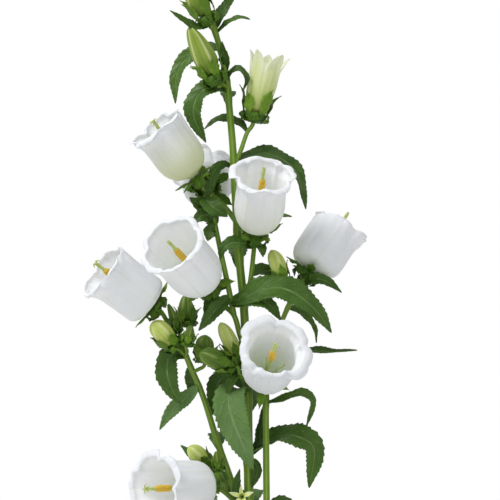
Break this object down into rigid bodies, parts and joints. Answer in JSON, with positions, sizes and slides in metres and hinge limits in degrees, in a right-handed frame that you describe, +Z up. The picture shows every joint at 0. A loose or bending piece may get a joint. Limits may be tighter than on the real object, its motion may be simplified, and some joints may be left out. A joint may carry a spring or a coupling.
{
  "type": "bellflower in vase",
  "caption": "Cut Canterbury bell stems with nodding white bell flowers, pleated green buds and toothed leaves, standing in water in a plain pale glazed vase.",
  "frame": {"origin": "centre of the flat underside of the vase's foot", "axes": "+Z up along the vase's axis, +Y away from the side that the picture shows, +X to that side's right"},
  "size_m": [0.2005, 0.124, 0.6797],
  "materials": {
    "leafy": "satin leaf green",
    "petal": "matt white",
    "pale_petal": "matt greenish white",
    "bud": "satin yellow green",
    "style": "powdery yellow",
    "vase": "satin glaze",
    "water": "clear"
  },
  "bodies": {
    "root": {"bell_back": "petal", "bell_front": "petal", "bell_high": "petal", "bell_large": "petal", "bell_left": "petal", "bell_low": "petal", "bell_opening": "pale_petal", "bell_outer": "petal", "bell_upper": "petal", "bud_green": "bud", "bud_leafy": "bud", "bud_long": "bud", "bud_pale": "bud", "bud_plump": "bud", "bud_right": "bud", "bud_side": "bud", "bud_slim": "bud", "bud_star": "bud", "bud_tip": "bud", "bud_top": "bud", "stem_left": "leafy", "stem_middle": "leafy", "stem_right": "leafy", "style_back": "style", "style_front": "style", "style_high": "style", "style_large": "style", "style_left": "style", "style_low": "style", "style_outer": "style", "style_upper": "style", "vase": "vase", "water": "water"}
  },
  "joints": []
}
